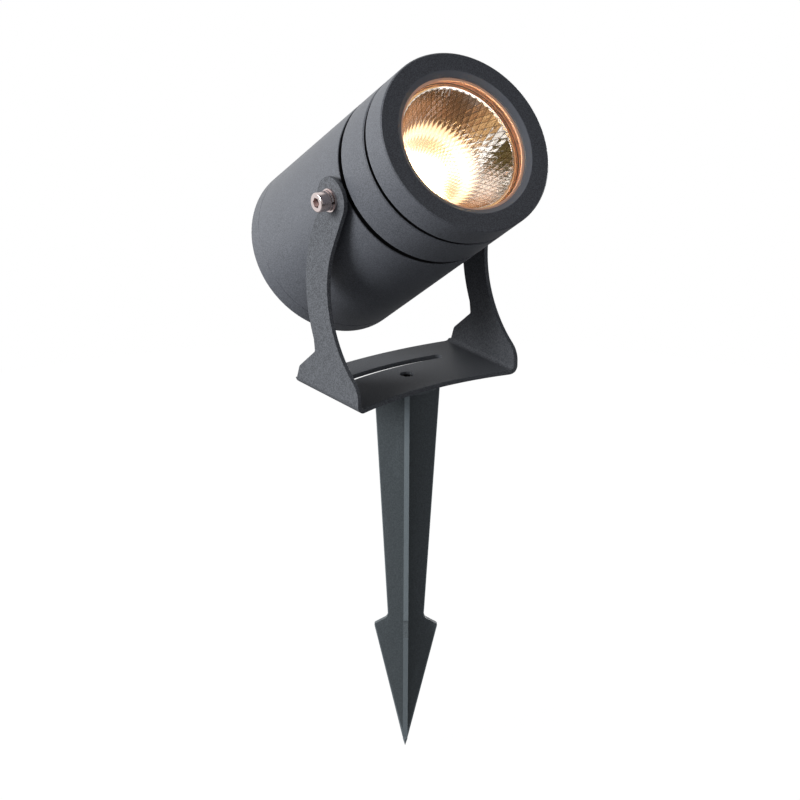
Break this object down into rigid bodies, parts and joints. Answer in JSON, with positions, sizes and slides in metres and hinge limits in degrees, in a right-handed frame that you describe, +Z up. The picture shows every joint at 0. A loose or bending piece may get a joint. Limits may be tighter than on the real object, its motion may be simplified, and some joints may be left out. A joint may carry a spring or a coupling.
{
  "type": "garden spike spotlight",
  "caption": "Cylindrical garden spotlight that tilts in a bent sheet yoke on a finned ground spike, with a faceted reflector behind flat glass.",
  "frame": {"origin": "on the ground spike's axis, at the underside of the yoke's base", "axes": "+Z up along the spike, -Y the side the lamp faces, +X from ear to ear along the pivot axis"},
  "size_m": [0.101, 0.1446, 0.3317],
  "materials": {
    "dark_coat": "satin",
    "yoke_coat": "satin",
    "spike_plastic": "matte",
    "stainless": "satin",
    "stud_steel": "satin",
    "clear_glass": "gloss",
    "gasket_silicone": "matte",
    "seal_rubber": "matte",
    "reflector_metal": "polished",
    "lamp_phosphor": "matte",
    "board_white": "satin",
    "holder_plastic": "satin",
    "thermal_grey": "matte",
    "tray_plastic": "matte",
    "board_green": "satin",
    "component_black": "satin",
    "copper_winding": "satin",
    "terminal_green": "satin",
    "nickel_brass": "satin",
    "washer_plastic": "matte",
    "lead_silicone": "satin"
  },
  "bodies": {
    "stake": {"ground_spike": "spike_plastic", "spike_stud": "stud_steel"},
    "yoke": {"yoke_bracket": "yoke_coat"},
    "head": {"main_housing": "dark_coat", "optics_collar": "dark_coat", "front_bezel": "dark_coat", "rear_cap": "dark_coat", "front_glass": "clear_glass", "glass_front_gasket": "gasket_silicone", "glass_rear_gasket": "gasket_silicone", "bezel_o_ring": "seal_rubber", "collar_o_ring": "seal_rubber", "rear_cap_o_ring": "seal_rubber", "faceted_reflector": "reflector_metal", "thermal_pad": "thermal_grey", "led_board": "board_white", "led_emitter": "lamp_phosphor", "led_holder": "holder_plastic", "led_holder_screws": "stainless", "driver_tray": "tray_plastic", "driver_board": "board_green", "driver_screws": "stainless", "driver_inductor": "copper_winding", "filter_capacitor": "component_black", "bridge_rectifier": "component_black", "terminal_block": "terminal_green", "rear_cap_screws": "stainless", "gland_body": "nickel_brass", "gland_sealing_washer": "seal_rubber", "gland_locknut": "nickel_brass", "gland_bush": "seal_rubber", "gland_nut": "nickel_brass", "led_leads": "lead_silicone", "friction_washers": "washer_plastic", "pivot_washers": "stainless", "pivot_spring_washers": "stainless", "pivot_screws": "stainless"}
  },
  "joints": [
    {"name": "yoke_swivel", "type": "hinge", "parent": "stake", "child": "yoke", "pos_m": [0, 0, 0], "axis": [0, 0, 1], "continuous": true},
    {"name": "head_tilt", "type": "hinge", "parent": "yoke", "child": "head", "pos_m": [0, -0.0041, 0.09046], "axis": [-1, 0, 0], "range_deg": [-126, 28]}
  ]
}
